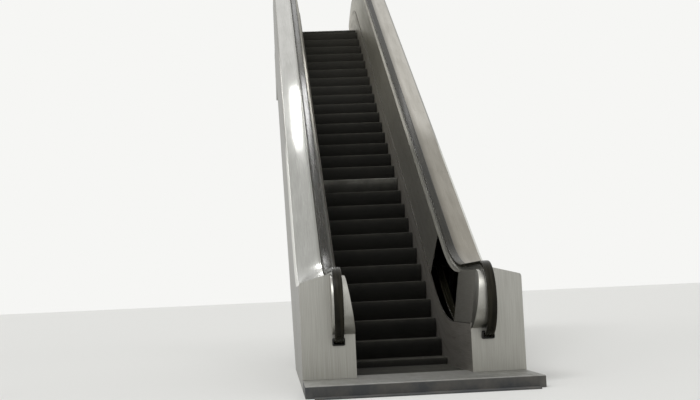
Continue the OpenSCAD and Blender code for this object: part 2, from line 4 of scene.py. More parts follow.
import bmesh
import bpy
from mathutils import Matrix, Vector


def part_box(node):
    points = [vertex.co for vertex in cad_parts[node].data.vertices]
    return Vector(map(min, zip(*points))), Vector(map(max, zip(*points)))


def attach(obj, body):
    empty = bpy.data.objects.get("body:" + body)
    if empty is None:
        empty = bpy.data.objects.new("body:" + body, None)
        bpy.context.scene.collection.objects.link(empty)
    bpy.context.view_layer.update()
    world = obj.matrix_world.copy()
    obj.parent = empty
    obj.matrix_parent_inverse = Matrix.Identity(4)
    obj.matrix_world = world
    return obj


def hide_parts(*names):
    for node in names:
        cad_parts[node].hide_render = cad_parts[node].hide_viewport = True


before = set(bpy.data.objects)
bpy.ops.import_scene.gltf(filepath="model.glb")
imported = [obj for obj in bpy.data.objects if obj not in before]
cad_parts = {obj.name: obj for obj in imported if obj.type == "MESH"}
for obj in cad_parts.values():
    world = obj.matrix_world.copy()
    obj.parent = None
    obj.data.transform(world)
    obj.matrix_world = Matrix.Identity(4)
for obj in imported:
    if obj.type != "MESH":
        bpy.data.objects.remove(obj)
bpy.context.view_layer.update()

# Escalator: solid stainless balustrades, wide outer decks, rubber handrails, cleated steps.
# Everything is in metres in the CAD frame: X up the flight, Y to its left hand, Z up.
random.seed(30)                       # the dust on the steps differs a little, the same on each run


def srgb(hexValue):
    digits = hexValue.lstrip("#")
    parts = [int(digits[i:i + 2], 16) / 255 for i in (0, 2, 4)]
    return [c / 12.92 if c <= 0.04045 else ((c + 0.055) / 1.055) ** 2.4 for c in parts] + [1.0]


def addNode(tree, kind, settings=None, links=None):
    # a setting that the node has as a property goes there, and any other to the socket of that name
    node = tree.nodes.new(kind)
    for key, value in (settings or {}).items():
        if isinstance(key, str) and hasattr(node, key):
            setattr(node, key, value)
        else:
            node.inputs[key].default_value = value
    for key, source in (links or {}).items():
        tree.links.new(source, node.inputs[key])
    return node


def newMaterial(name):
    material = bpy.data.materials.new(name)
    material.use_nodes = True
    material.node_tree.nodes.clear()
    return material, material.node_tree


def meshFrom(bm, name):
    bmesh.ops.recalc_face_normals(bm, faces=bm.faces)
    mesh = bpy.data.meshes.new(name)
    bm.to_mesh(mesh)
    bm.free()
    return mesh


def finishObject(mesh, material, replaced=(), sharp=30):
    # sharp: an edge that turns by more degrees than this stays crisp
    piece = bpy.data.objects.new(mesh.name, mesh)
    bpy.context.scene.collection.objects.link(piece)
    mesh.materials.append(material)
    mesh.shade_smooth()
    mesh.set_sharp_from_angle(angle=math.radians(sharp))
    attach(piece, "root")
    if replaced:
        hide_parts(*replaced)
    return piece


# Materials. Patterns on the swept sheets use their UVs: metres along the flight, metres across.
def brushedSteel(name, look):
    # Stainless sheet, belt ground and then worn: fine streaks along the grain, wiped smudges and
    # a slight buckle, so that its reflections smear and waver
    material, tree = newMaterial(name)
    place = addNode(tree, "ShaderNodeTexCoord")
    where = place.outputs["UV" if look["onSheet"] else "Object"]
    grainMap = addNode(tree, "ShaderNodeMapping", {"Scale": look["grain"]}, {"Vector": where})
    grain = addNode(tree, "ShaderNodeTexNoise", {"Scale": 1.0, "Detail": 4.0, "Roughness": 0.6},
                    {"Vector": grainMap.outputs["Vector"]})
    smudgeMap = addNode(tree, "ShaderNodeMapping", {"Scale": look["smudge"]}, {"Vector": where})
    smudge = addNode(tree, "ShaderNodeTexNoise", {"Scale": 1.0, "Detail": 5.0, "Roughness": 0.55},
                     {"Vector": smudgeMap.outputs["Vector"]})
    buckleMap = addNode(tree, "ShaderNodeMapping", {"Scale": look["buckle"]}, {"Vector": where})
    buckle = addNode(tree, "ShaderNodeTexNoise", {"Scale": 1.0, "Detail": 1.0},
                     {"Vector": buckleMap.outputs["Vector"]})
    dirt = addNode(tree, "ShaderNodeMapRange",
                   {"From Min": 0.4, "From Max": 0.75, "To Max": look["dirt"]},
                   {"Value": smudge.outputs["Fac"]})
    streak = addNode(tree, "ShaderNodeMapRange",
                     {"From Min": 0.3, "From Max": 0.7, "To Max": look["streak"]},
                     {"Value": grain.outputs["Fac"]})
    both = addNode(tree, "ShaderNodeMath", {"operation": "ADD", "use_clamp": True},
                   {0: dirt.outputs["Result"], 1: streak.outputs["Result"]})
    split = addNode(tree, "ShaderNodeSeparateXYZ", {}, {0: where})
    along = addNode(tree, "ShaderNodeMapRange",      # from the low colour to the high one: dust near the ground on the casing, painted reflection and shade on the decks, ledges and trim
                    {"interpolation_type": "SMOOTHSTEP", "From Min": look["climb"][0],
                     "From Max": look["climb"][1]},
                    {"Value": split.outputs[look["climbAxis"]]})
    lowToHigh = addNode(tree, "ShaderNodeMix",
                    {"data_type": "RGBA", 6: srgb(look["low"]), 7: srgb(look["high"])},
                    {0: along.outputs["Result"]})
    tint = addNode(tree, "ShaderNodeMix",
                   {"data_type": "RGBA", "blend_type": "MULTIPLY", 7: srgb(look["shade"])},
                   {0: both.outputs["Value"], 6: lowToHigh.outputs[2]})
    colour = tint.outputs[2]
    # each band multiplies painted shade into a strip across the sheet
    for fromAcross, toAcross, paintedShade in look.get("bands", ()):
        band = addNode(tree, "ShaderNodeMapRange", {"From Min": fromAcross, "From Max": toAcross},
                       {"Value": split.outputs["Y"]})
        shadedBand = addNode(tree, "ShaderNodeMix",
                          {"data_type": "RGBA", "blend_type": "MULTIPLY", 7: srgb(paintedShade)},
                          {0: band.outputs["Result"], 6: colour})
        colour = shadedBand.outputs[2]
    gloss = addNode(tree, "ShaderNodeMapRange",
                    {"To Min": look["roughness"][0], "To Max": look["roughness"][1]},
                    {"Value": both.outputs["Value"]})
    buckleBump = addNode(tree, "ShaderNodeBump", {"Distance": look["buckleDepth"]},
                         {"Height": buckle.outputs["Fac"]})
    grainBump = addNode(tree, "ShaderNodeBump", {"Strength": 0.12, "Distance": 0.0006},
                        {"Height": grain.outputs["Fac"], "Normal": buckleBump.outputs["Normal"]})
    shader = addNode(tree, "ShaderNodeBsdfPrincipled", {"Metallic": 1.0},
                     {"Base Color": colour, "Roughness": gloss.outputs["Result"],
                      "Normal": grainBump.outputs["Normal"]})
    addNode(tree, "ShaderNodeOutputMaterial", {}, {"Surface": shader.outputs["BSDF"]})
    return material


def dullCoat(name, look):
    # Moulded rubber, primer or scuffed plate: dust lies in patches over a fine tooth, so it shines
    # unevenly and never sharply
    material, tree = newMaterial(name)
    place = addNode(tree, "ShaderNodeTexCoord")
    where = place.outputs["UV" if look["onSheet"] else "Object"]
    dustMap = addNode(tree, "ShaderNodeMapping", {"Scale": look["dustScale"]}, {"Vector": where})
    dust = addNode(tree, "ShaderNodeTexNoise", {"Scale": 1.0, "Detail": 6.0, "Roughness": 0.6},
                   {"Vector": dustMap.outputs["Vector"]})
    tooth = addNode(tree, "ShaderNodeTexNoise", {"Scale": look["toothScale"], "Detail": 2.0},
                    {"Vector": place.outputs["Object"]})
    patch = addNode(tree, "ShaderNodeMapRange",
                    {"From Min": 0.42, "From Max": 0.74, "To Max": look["dust"]},
                    {"Value": dust.outputs["Fac"]})
    tint = addNode(tree, "ShaderNodeMix",
                   {"data_type": "RGBA", 6: srgb(look["colour"]), 7: srgb(look["dustColour"])},
                   {0: patch.outputs["Result"]})
    gloss = addNode(tree, "ShaderNodeMapRange",
                    {"From Min": 0.3, "From Max": 0.7,
                     "To Min": look["roughness"][0], "To Max": look["roughness"][1]},
                    {"Value": dust.outputs["Fac"]})
    bump = addNode(tree, "ShaderNodeBump", {"Strength": 0.25, "Distance": look["toothDepth"]},
                   {"Height": tooth.outputs["Fac"]})
    shader = addNode(tree, "ShaderNodeBsdfPrincipled", look["shader"],
                     {"Base Color": tint.outputs[2], "Roughness": gloss.outputs["Result"],
                      "Normal": bump.outputs["Normal"]})
    addNode(tree, "ShaderNodeOutputMaterial", {}, {"Surface": shader.outputs["BSDF"]})
    return material


def stepMetal(name, look):
    # Die-cast aluminium in a black coat: the grooves swallow light, shoes rub the nosing and the
    # cleats' crowns to bare grey metal, and dust greys the rest. Painted light lifts the foot of each
    # riser through the wear mix, and lightens the upper steps through the dust mix
    material, tree = newMaterial(name)
    place = addNode(tree, "ShaderNodeTexCoord")
    wearAndLightMask = addNode(tree, "ShaderNodeAttribute", {"attribute_name": "wear"})
    tone = addNode(tree, "ShaderNodeAttribute", {"attribute_name": "tone"})
    patch = addNode(tree, "ShaderNodeTexNoise",
                    {"Scale": look["patchScale"], "Detail": 6.0, "Roughness": 0.65},
                    {"Vector": place.outputs["Object"]})
    spread = addNode(tree, "ShaderNodeMapRange", {"From Min": 0.34, "From Max": 0.7, "To Min": 0.45},
                     {"Value": patch.outputs["Fac"]})
    # wear, and painted light at each riser's foot, show the grey metal
    bare = addNode(tree, "ShaderNodeMath", {"operation": "MULTIPLY", "use_clamp": True},
                   {0: wearAndLightMask.outputs["Fac"], 1: spread.outputs["Result"]})
    # dust patches, plus each step's tone: painted light that lightens the upper steps
    dustAndPaintedLight = addNode(tree, "ShaderNodeMath",
                    {"operation": "MULTIPLY_ADD", "use_clamp": True, 1: look["dust"]},
                    {0: patch.outputs["Fac"], 2: tone.outputs["Fac"]})
    coat = addNode(tree, "ShaderNodeMix",
                   {"data_type": "RGBA", 6: srgb(look["coat"]), 7: srgb(look["dustColour"])},
                   {0: dustAndPaintedLight.outputs["Value"]})
    tint = addNode(tree, "ShaderNodeMix", {"data_type": "RGBA", 7: srgb(look["bare"])},
                   {0: bare.outputs["Value"], 6: coat.outputs[2]})
    bump = addNode(tree, "ShaderNodeBump", {"Strength": 0.3, "Distance": 0.0005},
                   {"Height": patch.outputs["Fac"]})
    shader = addNode(tree, "ShaderNodeBsdfPrincipled", look["shader"],
                     {"Base Color": tint.outputs[2], "Normal": bump.outputs["Normal"]})
    addNode(tree, "ShaderNodeOutputMaterial", {}, {"Surface": shader.outputs["BSDF"]})
    return material


# Steel. grain: one streak is 400 mm long and 5 mm wide; real scratches are 0.1 mm wide, too fine to
# show. smudge and buckle: patches for each metre. climb: metres along the handrail (or up, on the
# casing) over which the finish goes from low to high; on the casing this is dust near the ground, on
# the decks, ledges and trim it is painted reflection and shade. bands: (from, to) in metres across
# the sheet's own outline, and the colour of the painted shade that they multiply in.
sheetGrain = {"onSheet": True, "grain": (2.5, 200.0, 1.0), "smudge": (1.3, 9.0, 1.0),
              "buckle": (1.3, 2.4, 1.0), "climbAxis": "X"}
casingGrain = {"onSheet": False, "grain": (200.0, 200.0, 2.5), "smudge": (2.2, 2.2, 0.6),
               "buckle": (1.1, 1.1, 0.8), "climbAxis": "Z", "climb": (0.0, 1.2), "shade": "#c4c3bf"}
steelLooks = {
    "stainlessLeftDeckBrushed": {     # wiped clean: pale, with clear reflections that waver; painted reflection lightens it up the flight
        **sheetGrain, "low": "#b2b2ae", "high": "#d2d1ce", "climb": (5.0, 9.5), "shade": "#c9c9c6",
        # painted shade of the handrail along the deck's inner edge
        "bands": [(0.06, 0.02, "#c4c4c0")],
        "roughness": (0.13, 0.19), "streak": 0.5, "dirt": 0.35, "buckleDepth": 0.003},
    "stainlessRightDeckDusty": {      # a film of dust warms it and blurs what it mirrors; painted reflection lightens its upper part
        **sheetGrain, "low": "#989389", "high": "#c3bfb7", "climb": (4.85, 5.65), "shade": "#c4c2bc",
        # painted shade of the handrail along the deck's inner edge
        "bands": [(0.10, 0.02, "#a5a29c")],
        "roughness": (0.26, 0.38), "streak": 0.5, "dirt": 0.45, "buckleDepth": 0.003},
    "stainlessPanelSatin": {          # a soft even sheen with faint streaks; painted shade dims it under the ledge
        **sheetGrain, "low": "#b8b6b0", "high": "#bab7ac", "climb": (3.0, 9.0), "shade": "#c0bdb7",
        "bands": [(0.05, 0.44, "#cfcfcd")],
        "roughness": (0.40, 0.52), "streak": 0.4, "dirt": 0.5, "buckleDepth": 0.003},
    "stainlessSkirtScuffed": {        # rubbed dull by shoes, with painted shade along its folded top edge
        **sheetGrain, "low": "#bdbab4", "high": "#bebbb0", "climb": (3.0, 9.0), "shade": "#aca6a2",
        "bands": [(0.500, 0.505, "#5f5d58")],
        "roughness": (0.44, 0.56), "streak": 0.5, "dirt": 0.6, "buckleDepth": 0.002},
    "stainlessRightLedgeDull": {      # worn matt; painted shade greys it towards the foot and at its inner edge
        **sheetGrain, "low": "#8b8a83", "high": "#c4c2ba", "climb": (4.6, 5.5), "shade": "#b4b3b0",
        "bands": [(0.020, 0.0, "#c6c5c0")],
        "roughness": (0.58, 0.68), "streak": 0.4, "dirt": 0.4, "buckleDepth": 0.001},
    "stainlessLeftLedgePaintedShade": {      # painted shade darkens it most at the foot
        **sheetGrain, "low": "#5c5b57", "high": "#a3a199", "climb": (4.0, 6.0), "shade": "#b4b3b0",
        "roughness": (0.58, 0.68), "streak": 0.4, "dirt": 0.4, "buckleDepth": 0.001},
    "stainlessTrimSatin": {           # rounded and satin, so it draws a soft light line along the deck; painted shade darkens its upper length
        **sheetGrain, "low": "#d9d9d5", "high": "#a2a19d", "climb": (4.4, 5.4), "shade": "#cfcfcc",
        "roughness": (0.44, 0.56), "streak": 0.4, "dirt": 0.25, "buckleDepth": 0.0008},
    "stainlessCasingSatin": {         # upright grain and an even sheen, a little darker near the ground
        **casingGrain, "low": "#a9a8a2", "high": "#b9b8b3",
        "roughness": (0.34, 0.42), "streak": 0.5, "dirt": 0.2, "buckleDepth": 0.002},
    "stainlessCladdingDull": {        # the same grain, a little rougher, in a darker colour that is painted shade, so it stays dim
        **casingGrain, "low": "#898884", "high": "#93928e",
        "roughness": (0.40, 0.50), "streak": 0.5, "dirt": 0.2, "buckleDepth": 0.002},
}
steel = {name: brushedSteel(name, look) for name, look in steelLooks.items()}

# Coats. dustScale: patches for each metre; toothScale: bumps for each metre, 1.7 to 4 mm apart, where
# the real tooth is too fine to show.
handrailRubber = dullCoat("rubberHandrailMoulded", {         # buffed by hands: near black, softly glossy
    "onSheet": True, "colour": "#171610", "dustColour": "#383429", "dust": 0.6,
    "dustScale": (2.0, 30.0, 1.0), "toothScale": 600.0, "toothDepth": 0.00003,
    "roughness": (0.20, 0.32), "shader": {"IOR": 1.52, "Specular IOR Level": 0.10}})
collarRubber = dullCoat("rubberCollarMoulded", {             # the same rubber, left matt and coarser
    "onSheet": False, "colour": "#1a1a19", "dustColour": "#35332f", "dust": 0.6,
    "dustScale": (9.0, 9.0, 9.0), "toothScale": 500.0, "toothDepth": 0.0003,
    "roughness": (0.5, 0.65), "shader": {"IOR": 1.52}})
framePrimer = dullCoat("steelFramePrimed", {                 # brushed-on grey primer under brown dust
    "onSheet": False, "colour": "#3a3c3e", "dustColour": "#6a665e", "dust": 0.7,
    "dustScale": (4.0, 4.0, 4.0), "toothScale": 300.0, "toothDepth": 0.0004,
    "roughness": (0.5, 0.7), "shader": {"IOR": 1.5}})
landingAluminium = dullCoat("aluminiumLandingExtruded", {    # bare metal, trodden to a blurred sheen
    "onSheet": False, "colour": "#a9a9a6", "dustColour": "#85827b", "dust": 0.6,
    "dustScale": (2.2, 9.0, 6.0), "toothScale": 250.0, "toothDepth": 0.0002,
    "roughness": (0.36, 0.46), "shader": {"Metallic": 1.0}})
stepAluminium = stepMetal("aluminiumStepDieCastBlack", {     # dark, with thin grey lines of wear
    "coat": "#131312", "dustColour": "#57554e", "dust": 0.08, "bare": "#57564f", "patchScale": 9.0,
    "shader": {"Roughness": 0.6, "Specular IOR Level": 0.2}})
paleAluminium = stepMetal("aluminiumStepDieCastPale", {      # rubbed much barer, so it reads lighter
    "coat": "#1d1d1b", "dustColour": "#4a4943", "dust": 0.35, "bare": "#a8a79f", "patchScale": 9.0,
    "shader": {"Roughness": 0.6, "Specular IOR Level": 0.25}})
print("materials made")

# CAD nodes that keep their own shape get these finishes
nodeFinish = {
    steel["stainlessCladdingDull"]: ["left_side_cladding", "right_side_cladding", "soffit"],
    steel["stainlessCasingSatin"]: ["upper_end_housing", "newel_end_caps", "handrail_guides"],
    framePrimer: ["lower_support", "upper_support", "lower_landing_frame", "upper_landing_frame",
                  "step_tracks", "truss_frames", "right_balustrade_posts"],
    landingAluminium: ["lower_combs", "upper_combs"],
    stepAluminium: ["lower_landing_steps", "lower_curve_steps", "lower_flight_steps",
                    "middle_flight_steps", "upper_flight_steps", "upper_curve_steps",
                    "upper_landing_steps"],
    paleAluminium: ["pale_step"],
}
for material, names in nodeFinish.items():
    for name in names:
        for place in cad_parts[name].material_slots:
            place.material = material

# The handrail's path as the CAD draws it: level, bend, 30 degree flight, bend, level
route = {
    "slope": math.radians(30),
    "kneeX": 2.358138,                # where the line of the flight meets the lower level
    "lowRadius": 2.0,
    "highRadius": 2.6,
    "bendStep": math.radians(1),
}
slope = route["slope"]
ledgeLow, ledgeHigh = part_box("left_ledge")
startX, endX = ledgeLow.x, ledgeHigh.x
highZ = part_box("left_handrail")[1].z
lowZ = highZ - (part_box("upper_floor_plates")[1].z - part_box("lower_floor_plates")[1].z)
lowTangent = route["lowRadius"] * math.tan(slope / 2)
highTangent = route["highRadius"] * math.tan(slope / 2)
lowArc = route["lowRadius"] * slope
highArc = route["highRadius"] * slope
lowLevelEnd = route["kneeX"] - lowTangent
highLevelStart = route["kneeX"] + (highZ - lowZ) / math.tan(slope) + highTangent
flightLength = (highZ - lowZ) / math.sin(slope) - lowTangent - highTangent
footX = route["kneeX"] + lowTangent * math.cos(slope)
footZ = lowZ + lowTangent * math.sin(slope)
flightRun = lowLevelEnd - startX + lowArc


# A ring is (x, z, angle, metres run from the lower newel). A gap is half a joint.
def lowLevelRings(gap):
    return [(startX, lowZ, 0.0, 0.0), (lowLevelEnd - gap, lowZ, 0.0, lowLevelEnd - gap - startX)]


def highLevelRings(gap):
    run = flightRun + flightLength + highArc
    return [(highLevelStart + gap, highZ, 0.0, run + gap),
            (endX, highZ, 0.0, run + endX - highLevelStart)]


def lowBendRings():
    steps = round(slope / route["bendStep"])
    radius = route["lowRadius"]
    turns = [slope * k / steps for k in range(steps + 1)]
    return [(lowLevelEnd + radius * math.sin(a), lowZ + radius * (1 - math.cos(a)), a,
             flightRun - radius * (slope - a)) for a in turns]


def highBendRings():
    steps = round(slope / route["bendStep"])
    radius = route["highRadius"]
    turns = [slope * (1 - k / steps) for k in range(steps + 1)]
    return [(highLevelStart - radius * math.sin(a), highZ - radius * (1 - math.cos(a)), a,
             flightRun + flightLength + radius * (slope - a)) for a in turns]


def flightRings(fromS, toS):
    return [(footX + s * math.cos(slope), footZ + s * math.sin(slope), slope, flightRun + s)
            for s in (fromS, toS)]


def flightLengths(count, gap, start=0.0):
    length = (flightLength - start) / count
    return [flightRings(start + i * length + gap, start + (i + 1) * length - gap) for i in range(count)]


def allLengths(count, gap):
    return [lowLevelRings(gap), lowBendRings(), *flightLengths(count, gap),
            highBendRings(), highLevelRings(gap)]


def roundedOutline(corners, parts):
    # corners are (y, n, radius) in millimetres; each becomes an arc, and two never meet on an edge
    mostOfEdge, leastCut = 0.49, 0.0001
    outline = []
    for i, (y, n, radius) in enumerate(corners):
        here = Vector((y, n))
        before = Vector(corners[i - 1][:2]) - here
        after = Vector(corners[(i + 1) % len(corners)][:2]) - here
        half = before.angle(after) / 2
        cut = min(radius / math.tan(half), mostOfEdge * before.length, mostOfEdge * after.length)
        if radius <= 0 or cut < leastCut:
            outline.append(here)
            continue
        fitted = cut * math.tan(half)             # the radius that the edges leave room for
        start = here + before.normalized() * cut
        end = here + after.normalized() * cut
        inward = (before.normalized() + after.normalized()).normalized()
        middle = here + inward * fitted / math.sin(half)
        first = math.atan2(start.y - middle.y, start.x - middle.x)
        last = math.atan2(end.y - middle.y, end.x - middle.x)
        turn = (last - first + math.pi) % (2 * math.pi) - math.pi
        for k in range(parts + 1):
            a = first + turn * k / parts
            outline.append(middle + Vector((math.cos(a), math.sin(a))) * fitted)
    return [(p.x / 1000, p.y / 1000) for p in outline]


def girths(outline):
    # metres round a closed outline, at each of its points
    total = [0.0]
    for a, b in zip(outline, outline[1:] + outline[:1]):
        total.append(total[-1] + math.hypot(b[0] - a[0], b[1] - a[1]))
    return total


def bandFaces(bm, uvLayer, rows, runs, across):
    # rows of vertices round a closed outline, joined one to the next, unrolled in metres in the UVs
    for i in range(len(rows) - 1):
        for j in range(len(rows[i])):
            k = (j + 1) % len(rows[i])
            face = bm.faces.new((rows[i][j], rows[i][k], rows[i + 1][k], rows[i + 1][j]))
            spots = ((runs[i], across[j]), (runs[i], across[j + 1]),
                     (runs[i + 1], across[j + 1]), (runs[i + 1], across[j]))
            for loop, spot in zip(face.loops, spots):
                loop[uvLayer].uv = spot


def sweepMesh(name, outline, lengths, side):
    bm = bmesh.new()
    uvLayer = bm.loops.layers.uv.new("alongAcross")
    across = girths(outline)
    for rings in lengths:
        rows = [[bm.verts.new((x - n * math.sin(a), side * y, z + n * math.cos(a))) for y, n in outline]
                for x, z, a, run in rings]
        bandFaces(bm, uvLayer, rows, [run for x, z, a, run in rings], across)
        bm.faces.new(rows[0])
        bm.faces.new(rows[-1])
    return meshFrom(bm, name)


# Balustrade sheets, both sides. Sections are (Y, N, corner radius) in millimetres: Y from the middle,
# N from the handrail's back. Gaps are half a joint, in metres.
sheets = {
    "skirt": {
        "gap": 0.001, "section": [
            (504, -1047, 0.5), (504, -539, 2.5), (510, -539, 0.5), (510, -537, 0.5),
            (514, -537, 0.5), (514, -543, 0.5), (508, -543, 0.5), (508, -1047, 0.5)]},
    "panel": {
        "gap": 0.002, "section": [
            (510, -537, 1.0), (576, -76, 1.0), (580, -76, 1.0), (514, -537, 1.0)]},
    "ledge": {
        "left": "stainlessLeftLedgePaintedShade", "right": "stainlessRightLedgeDull",
        "gap": 0.0005, "section": [
            (576, -72, 1.2), (610.7, -72, 1.2), (610.7, -76, 1.2), (576, -76, 1.2)]},
    "deck": {
        "left": "stainlessLeftDeckBrushed", "right": "stainlessRightDeckDusty",
        "gap": 0.0005, "section": [
            (690, -76, 1.0), (690, -55.4, 13.0), (946, -122, 1.0), (946, -126, 1.0),
            (694, -60.2, 9.0), (694, -76, 1.0)]},
    "trim": {                         # a quarter of a tube along the deck's outer edge
        "gap": 0.0005, "middleY": 946, "middleN": -148, "outer": 26, "inner": 22, "parts": 12},
    "cornerParts": 5,
    "flightPanels": 5,
    "curvePanelTangent": 0.3,         # the lower curve panels run this far up the flight
}
sides = {"left": 1, "right": -1}      # the sign of Y on each
trim = sheets["trim"]
trimAngles = [math.radians(90 * k / trim["parts"]) for k in range(trim["parts"] + 1)]
trimOutline = [((trim["middleY"] + radius * math.sin(a)) / 1000,
                (trim["middleN"] + radius * math.cos(a)) / 1000)
               for radius, angles in ((trim["outer"], trimAngles), (trim["inner"], trimAngles[::-1]))
               for a in angles]
skirtOutline, panelOutline, ledgeOutline, deckOutline = (
    roundedOutline(sheets[kind]["section"], sheets["cornerParts"])
    for kind in ("skirt", "panel", "ledge", "deck"))


def addSheet(hand, kind, outline, lengths, finish, node, sharp=30):
    mesh = sweepMesh(hand + kind, outline, lengths, sides[hand])
    finishObject(mesh, steel[finish], [node], sharp)


panelGap = sheets["panel"]["gap"]
tangent = sheets["curvePanelTangent"]
panelCount = sheets["flightPanels"]
for hand in sides:
    addSheet(hand, "Skirt", skirtOutline, allLengths(panelCount, sheets["skirt"]["gap"]),
             "stainlessSkirtScuffed", hand + "_skirt")
    addSheet(hand, "NewelPanels", panelOutline, [lowLevelRings(panelGap), highLevelRings(panelGap)],
             "stainlessPanelSatin", hand + "_newel_panels")
    addSheet(hand, "FlightPanels", panelOutline, flightLengths(panelCount, panelGap, tangent),
             "stainlessPanelSatin", hand + "_flight_panels")
    addSheet(hand, "UpperCurvePanel", panelOutline, [highBendRings()],
             "stainlessPanelSatin", "upper_curve_panels")
    if hand == "left":                # the right-hand one is missing, as in the photograph
        addSheet(hand, "LowerCurvePanel", panelOutline,
                 [lowBendRings() + flightRings(0.0, tangent - panelGap)[1:]],
                 "stainlessPanelSatin", "left_lower_curve_panel")
    addSheet(hand, "Ledge", ledgeOutline, allLengths(1, sheets["ledge"]["gap"]),
             sheets["ledge"][hand], hand + "_ledge")
    addSheet(hand, "Deck", deckOutline, allLengths(panelCount, sheets["deck"]["gap"]),
             sheets["deck"][hand], hand + "_deck", sharp=40)
    addSheet(hand, "EdgeTrim", trimOutline, allLengths(panelCount, trim["gap"]),
             "stainlessTrimSatin", hand + "_edge_trim", sharp=40)
print("balustrade sheets made")

# Handrails: one closed loop of moulded C section on each side
handrail = {
    "section": [(609, -1.6, 13.0), (625, -0.5, 0.0), (649, 0.0, 0.0), (673, -0.5, 0.0), (689, -1.6, 13.0),
                (689, -34, 7.0), (671, -34, 3.0), (671, -26, 1.5), (679, -26, 1.0), (679, -10, 2.0),
                (619, -10, 2.0), (619, -26, 1.0), (627, -26, 1.5), (627, -34, 3.0), (609, -34, 7.0)],
    "cornerParts": 5,
    "newelRadius": 0.33,
    "newelStep": math.radians(4),
}


def handrailRings():
    # the rubber's back and the way it faces: out along the top, round a newel, back inside, and
    # round the other newel
    top = [(x, z, a + math.pi / 2) for x, z, a, run in lowBendRings() + highBendRings()]
    rings = list(top)
    radius = handrail["newelRadius"]
    turns = round(math.pi / handrail["newelStep"])
    for k in range(turns + 1):
        facing = math.pi / 2 - math.pi * k / turns
        rings.append((endX + radius * math.cos(facing),
                      highZ - radius + radius * math.sin(facing), facing))
    for x, z, facing in reversed(top):
        rings.append((x - 2 * radius * math.cos(facing),
                      z - 2 * radius * math.sin(facing), facing + math.pi))
    for k in range(turns + 1):
        facing = 3 * math.pi / 2 - math.pi * k / turns
        rings.append((startX + radius * math.cos(facing),
                      lowZ - radius + radius * math.sin(facing), facing))
    return rings


handrailOutline = roundedOutline(handrail["section"], handrail["cornerParts"])
handrailAcross = girths(handrailOutline)
for hand, side in sides.items():
    rings = handrailRings()
    runs = [flightRun - lowArc]
    for a, b in zip(rings, rings[1:] + rings[:1]):
        runs.append(runs[-1] + math.hypot(b[0] - a[0], b[1] - a[1]))
    bm = bmesh.new()
    uvLayer = bm.loops.layers.uv.new("alongAcross")
    rows = [[bm.verts.new((x + n * math.cos(facing), side * y, z + n * math.sin(facing)))
             for y, n in handrailOutline] for x, z, facing in rings]
    bandFaces(bm, uvLayer, rows + rows[:1], runs, handrailAcross)
    finishObject(meshFrom(bm, hand + "Handrail"), handrailRubber,
                 [hand + "_handrail"], sharp=50)
print("handrails made")

# Newels: the cores' rounded ends and the rubber collars that the handrails run into
newel = {
    "coreRadius": 0.254, "innerY": 0.576, "outerY": 0.704, "headN": -0.076, "sheet": 0.004,
    "lean": 0.066 / 0.461,            # metres inwards for each metre down
    "arcParts": 48, "sharp": 40, "bevel": 0.004, "bevelParts": 3,
}
# end: 1 at the lower landing, -1 at the upper one
newelEnds = [(side, end, newelX, topZ) for side in sides.values()
             for end, newelX, topZ in ((1, startX, lowZ), (-1, endX, highZ))]
bm = bmesh.new()
for side, end, newelX, topZ in newelEnds:
    inner, outer = [], []
    for k in range(newel["arcParts"] + 1):
        a = math.pi * k / newel["arcParts"] - math.pi / 2
        x = newelX - end * (newel["sheet"] + (newel["coreRadius"] - newel["sheet"]) * math.cos(a))
        z = topZ - handrail["newelRadius"] + newel["coreRadius"] * math.sin(a)
        depth = topZ + newel["headN"] - z
        inner.append(bm.verts.new((x, side * (newel["innerY"] - depth * newel["lean"]), z)))
        outer.append(bm.verts.new((x, side * newel["outerY"], z)))
    bm.faces.new(inner)
    bm.faces.new(outer)
    for k in range(len(inner)):
        m = (k + 1) % len(inner)
        bm.faces.new((inner[k], inner[m], outer[m], outer[k]))
bmesh.ops.recalc_face_normals(bm, faces=bm.faces)
sharpEdges = [e for e in bm.edges
              if e.is_manifold and e.calc_face_angle(0) > math.radians(newel["sharp"])]
bmesh.ops.bevel(bm, geom=sharpEdges, offset=newel["bevel"], segments=newel["bevelParts"],
                profile=0.5, affect="EDGES")
finishObject(meshFrom(bm, "newelHeads"), steel["stainlessCasingSatin"],
             ["newel_cores"], sharp=newel["sharp"])

collar = {
    "sheet": 0.004, "middleY": 0.649, "cornerParts": 5,
    # rims are (reach, swell): how far out from the newel, and how much larger than the size given
    "outside": {"halfY": 0.056, "lowN": -0.021, "highN": 0.050, "corner": 0.014,
                "rims": [(0.0, 0.0), (0.040, -0.002), (0.056, -0.005), (0.060, -0.009)]},
    "inside": {"halfY": 0.045, "lowN": -0.005, "highN": 0.039, "corner": 0.0084,
               "rims": [(0.060, 0.004), (0.054, 0.0), (0.0, 0.0)]},
}


def roundedRectangle(lowY, highY, lowN, highN, corner):
    parts = collar["cornerParts"]
    return [(cy + corner * math.cos(math.radians(start + 90 * k / parts)),
             cn + corner * math.sin(math.radians(start + 90 * k / parts)))
            for cy, cn, start in ((highY - corner, highN - corner, 0),
                                  (lowY + corner, highN - corner, 90),
                                  (lowY + corner, lowN + corner, 180),
                                  (highY - corner, lowN + corner, 270))
            for k in range(parts + 1)]


bm = bmesh.new()
for side, end, newelX, topZ in newelEnds:
    base = topZ - 2 * handrail["newelRadius"]
    loops = []
    for wall in (collar["outside"], collar["inside"]):
        for reach, swell in wall["rims"]:
            outline = roundedRectangle(collar["middleY"] - wall["halfY"] - swell,
                                       collar["middleY"] + wall["halfY"] + swell,
                                       wall["lowN"] - swell, wall["highN"] + swell, wall["corner"])
            x = newelX - end * (collar["sheet"] + reach)
            loops.append([bm.verts.new((x, side * y, base + n)) for y, n in outline])
    for a, b in zip(loops, loops[1:] + loops[:1]):
        for j in range(len(a)):
            k = (j + 1) % len(a)
            bm.faces.new((a[j], a[k], b[k], b[j]))
finishObject(meshFrom(bm, "handrailCollars"), collarRubber,
             ["handrail_inlets"], sharp=50)
print("newels made")

